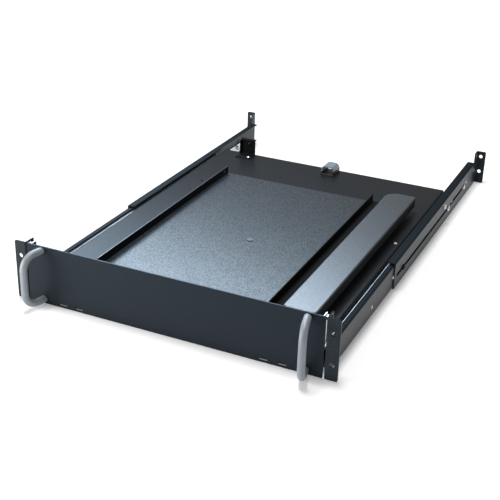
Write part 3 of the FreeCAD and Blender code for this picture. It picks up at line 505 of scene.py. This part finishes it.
base_sheet = 0.0015
pan_radius, pan_height = 0.0035, 0.002
flange_places = (0.064, 0.264, 0.483)
flange_twist = 9.0
flange_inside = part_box("base_tray")[1].x - base_sheet
flange_screws = [stand(screw_head(pan_radius, pan_height), (side * flange_inside, y, slide_level),
                       (-side, 0, 0), y * flange_twist)
                 for side in right_and_left for y in flange_places]
finished("base_flange_screws", flange_screws, bright_zinc, "drawer")


# Front panel: a flat coated steel sheet that folds down on two hinges along its bottom edge.
# The blackened hinge leaves are spot-welded on, and plated latches behind its ends slide on studs.

panel_powder = coated("panel_powder", (0.0075, 0.0092, 0.0116), (0.011, 0.0133, 0.0164),
                      (0.05, 0.055, 0.062), rough=0.44, grain=1100.0, depth=0.00004,
                      sheen=(0.55, 0.77, 1.0), shine=0.31)
paint(panel_powder, "front_panel")
paint(black_oxide, "hinge_base_leaves", "hinge_panel_leaves", "hinge_pins")
paint(bright_zinc, *pair("latch"), "latch_studs")


# Bow handles: round aluminium bar bent twice, satin anodised, leaning slightly outwards.
# Each is held by two plated screws put in from behind the panel.

satin_aluminium = machine_metal("satin_aluminium", (0.31, 0.345, 0.38), (0.26, 0.285, 0.32), rough=0.5,
                                streak=(1500.0, 1500.0, 90.0), metallic=0.25)
paint(satin_aluminium, "handles")

handle_screw_radius = 0.004
foot_rise = 0.0052
foot_inset = 0.0119
handle_low, handle_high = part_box("handles")
foot_side = handle_high.x - foot_inset
foot_levels = (handle_low.z + foot_rise, handle_high.z - foot_rise)
panel_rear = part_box("front_panel")[1].y
handle_screws = [stand(screw_head(handle_screw_radius, pan_height), (side * foot_side, panel_rear, z),
                       (0, 1, 0), turn=0.4)
                 for side in right_and_left for z in foot_levels]
finished("handle_screws", handle_screws, bright_zinc, "fold_down_front")


# Keyboard plate: coated steel sheet with an upturned lip at the left, in a coarser grain that
# catches the light under a clear gloss on its tops. Its walls, the lip's inner face among them, are
# painted darker as painted shade. It turns on the base, and carries the stop strip and the palm rest.

plate_powder = coated("plate_powder", (0.01, 0.0125, 0.0155), (0.017, 0.021, 0.0255), (0.06, 0.067, 0.076),
                      rough=0.7, grain=640.0, depth=0.0005, sheen=(0.6, 0.8, 1.0), shine=0.12,
                      polish_and_shade=("tops", 1.5, 0.3, 0.6))
paint(plate_powder, "keyboard_plate")


# Stop strip: a bent angle strip that keeps the keyboard from sliding right, spot-welded to the plate
# by its foot. Its matte black is painted near-black, darker than the other coats, as painted shade in
# the gap beside the palm rest.

matte_black_painted_shade = coated("matte_black_painted_shade", (0.003, 0.003, 0.0032), (0.0045, 0.0045, 0.005),
                     (0.012, 0.0125, 0.0135), rough=0.75, grain=1300.0, depth=0.00003, shine=0.12)
paint(matte_black_painted_shade, "stop_strip")


# Palm rest: a moulded bar of black plastic with a fine matte grain and a clear gloss on its top,
# its rear left corner well rounded. Its side walls are painted darker as painted shade. Three plated
# screws hold it from below the plate.

grained_plastic = coated("grained_plastic", (0.0115, 0.014, 0.0175), (0.0165, 0.02, 0.0245),
                         (0.02, 0.023, 0.027), rough=0.7, grain=640.0, depth=0.0004, reach=0.0006,
                         sheen=(0.55, 0.78, 1.0), shine=0.12, polish_and_shade=("tops", 1.88, 0.33, 0.25))
paint(grained_plastic, "palm_rest")

palm_places = (0.106, 0.251, 0.417)
palm_twist = 5.0
palm_low, palm_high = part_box("palm_rest")
plate_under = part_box("keyboard_plate")[0].z
palm_middle = (palm_low.x + palm_high.x) / 2
palm_screws = [stand(screw_head(pan_radius, pan_height), (palm_middle, y, plate_under), (0, 0, -1),
                     y * palm_twist) for y in palm_places]
finished("palm_rest_screws", palm_screws, bright_zinc, "keyboard_tray")


# Turntable: two coated steel rings with a nylon slip ring between them, held together by a
# bolt with a low dull-plated head in the plate, and a bright washer and nut under the base.

white_nylon = coated("white_nylon", (0.72, 0.72, 0.69), (0.66, 0.66, 0.63), (0.8, 0.8, 0.77),
                     rough=0.4, grain=600.0, depth=0.00002, reach=0.0004)
dull_zinc = machine_metal("dull_zinc", (0.11, 0.12, 0.13), (0.07, 0.08, 0.09), rough=0.45)
# The rings' tops take the same painted shade.
paint(black_powder, "lower_ring", "upper_ring")
paint(white_nylon, "slip_ring", "glide_stud")
paint(dull_zinc, "pivot_bolt")
paint(bright_zinc, "pivot_washer", "pivot_nut")


# Cable clip: a dark moulded saddle with a pale moulded lid on a steel pin, fixed at the rear
# edge of the base.

dark_plastic = coated("dark_plastic", (0.022, 0.025, 0.028), (0.03, 0.033, 0.037), (0.06, 0.065, 0.07),
                      rough=0.42, grain=800.0, depth=0.00003)
pale_plastic = coated("pale_plastic", (0.24, 0.3, 0.36), (0.27, 0.33, 0.39), (0.4, 0.47, 0.54),
                      rough=0.3, grain=800.0, depth=0.00003)
paint(dark_plastic, "cable_clip_saddle")
paint(pale_plastic, "cable_clip_lid")
paint(bright_zinc, "cable_clip_pin")


# Cable bracket: a small black angle with a folded side, at the rear left of the base. A plated
# rivet holds its foot, and a blackened screw waits in its face for a cable tie.

def rivet_head(radius, height):
    """A low domed head that stands on z 0, turned from its half outline."""
    bm = bmesh.new()
    outline = [(0.0, height), (radius * 0.45, height * 0.92), (radius * 0.8, height * 0.6),
               (radius, 0.12 * height), (radius, 0.0), (0.0, 0.0)]
    verts = [bm.verts.new((x, 0.0, z)) for x, z in outline]
    edges = [bm.edges.new(ends) for ends in zip(verts, verts[1:])]
    bmesh.ops.spin(bm, geom=verts + edges, cent=(0, 0, 0), axis=(0, 0, 1), angle=math.tau, steps=24,
                   use_merge=True)
    bmesh.ops.remove_doubles(bm, verts=bm.verts, dist=1e-6)
    bmesh.ops.recalc_face_normals(bm, faces=bm.faces)
    return bm


paint(matte_black_painted_shade, "cable_bracket")
bracket_low, bracket_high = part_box("cable_bracket")
bracket_sheet = 0.0015
rivet_radius, rivet_height = 0.0032, 0.0016
rivet_x, rivet_inset = -0.1515, 0.007
tie_screw_x, tie_screw_inset, tie_screw_drop = -0.157, 0.005, 0.0085
foot_rivet = stand(rivet_head(rivet_radius, rivet_height),
                   (rivet_x, bracket_low.y + rivet_inset, bracket_low.z + bracket_sheet), (0, 0, 1))
finished("cable_bracket_rivet", [foot_rivet], bright_zinc, "drawer")
face_screw = stand(screw_head(pan_radius, pan_height),
                   (tie_screw_x, bracket_high.y - tie_screw_inset, bracket_high.z - tie_screw_drop),
                   (0, -1, 0), turn=0.3)
finished("cable_bracket_screw", [face_screw], black_oxide, "drawer")


# Studio: a pale floor and a white surround, a soft lamp overhead and a small one at the left, and
# a wide cool softbox behind the drawer that only puts a sheen on its flat tops. The camera
# stands at the photograph's place.

scene = bpy.context.scene
scene.view_settings.view_transform = "Standard"

floor_drop = 0.0006
floor_bm = bmesh.new()
bmesh.ops.create_grid(floor_bm, x_segments=1, y_segments=1, size=8.0)
bmesh.ops.translate(floor_bm, verts=floor_bm.verts, vec=(0, 0, cad_box[0][2] - floor_drop))
floor_mesh = bpy.data.meshes.new("studio_floor")
floor_bm.to_mesh(floor_mesh)
floor_bm.free()
floor = bpy.data.objects.new("studio_floor", floor_mesh)
scene.collection.objects.link(floor)

glow_distances = (0.5, 1.6)
glow_strengths = (0.18, 0.9)
floor_paint, tree, shader = new_material("floor_white")
shader.inputs["Base Color"].default_value = (0.94, 0.94, 0.94, 1)
shader.inputs["Roughness"].default_value = 0.9
shader.inputs["Specular IOR Level"].default_value = 0.0
glow = tree.nodes.new("ShaderNodeEmission")
rays = tree.nodes.new("ShaderNodeLightPath")
seen = math_node(tree, "MAXIMUM", rays.outputs["Is Camera Ray"], rays.outputs["Is Glossy Ray"])
spread = tree.nodes.new("ShaderNodeVectorMath")
spread.operation = "LENGTH"
tree.links.new(tree.nodes.new("ShaderNodeTexCoord").outputs["Object"], spread.inputs[0])
# The floor glows on its own as painted light, weak near the drawer, which leaves the floor darker around
# it, and strong far out where the lamps fall off.
painted_floor_glow = span_node(tree, spread.outputs["Value"], glow_distances, glow_strengths)
tree.links.new(math_node(tree, "MULTIPLY", seen, painted_floor_glow), glow.inputs["Strength"])
both = tree.nodes.new("ShaderNodeAddShader")
tree.links.new(shader.outputs["BSDF"], both.inputs[0])
tree.links.new(glow.outputs["Emission"], both.inputs[1])
tree.links.new(both.outputs["Shader"], tree.nodes["Material Output"].inputs["Surface"])
floor_mesh.materials.append(floor_paint)

lit_and_shown = (0.3, 1.0)
world = bpy.data.worlds.new("studio")
scene.world = world
world.use_nodes = True
tree = world.node_tree
light = tree.nodes["Background"]
rays = tree.nodes.new("ShaderNodeLightPath")
shown = math_node(tree, "MAXIMUM", rays.outputs["Is Camera Ray"], rays.outputs["Is Transmission Ray"])
tree.links.new(span_node(tree, shown, (0.0, 1.0), lit_and_shown), light.inputs["Strength"])
light.inputs["Color"].default_value = (1, 1, 1, 1)


def lamp(name, place, aim, size, power, colour=(1, 1, 1), tilt=0.0):
    """A rectangular softbox at a place, turned to an aim and tilted about its own axis."""
    data = bpy.data.lights.new(name, "AREA")
    data.shape = "RECTANGLE"
    data.size, data.size_y = size
    data.energy = power
    data.color = colour
    made = bpy.data.objects.new(name, data)
    made.location = place
    facing = (Vector(aim) - Vector(place)).to_track_quat("-Z", "Y").to_matrix()
    made.rotation_euler = (facing @ Matrix.Rotation(tilt, 3, "Z")).to_euler()
    made.visible_camera = False
    scene.collection.objects.link(made)
    return made


lamp("overhead_softbox", place=(-0.3, 0.3, 2.4), aim=(0, 0.3, 0), size=(0.8, 0.8), power=42)
lamp("left_softbox", place=(-1.05, -0.8, 0.35), aim=(-0.1, 0, 0), size=(0.5, 0.6), power=15)
sheen_box = lamp("sheen_softbox", place=(-0.74, 1.05, 0.84), aim=(-0.74, 0, 0.84), size=(1.34, 0.6),
                 power=34, colour=(0.64, 0.82, 1.0), tilt=-0.17)
sheen_box.visible_diffuse = False

camera = bpy.data.cameras.new("camera")
camera.lens = 73.09
camera.sensor_width = 36.0
back = Vector((0.37314, -0.82057, 0.43294)).normalized()
level = Vector((0, 0, 1)).cross(back).normalized()
rise = back.cross(level)
roll = math.radians(1.697)
right = level * math.cos(roll) + rise * math.sin(roll)
up = rise * math.cos(roll) - level * math.sin(roll)
seat = Matrix((right, up, back)).transposed().to_4x4()
seat.translation = (0.5804, -1.0213, 0.64815)
camera_object = bpy.data.objects.new("camera", camera)
camera_object.matrix_world = seat
scene.collection.objects.link(camera_object)
scene.camera = camera_object
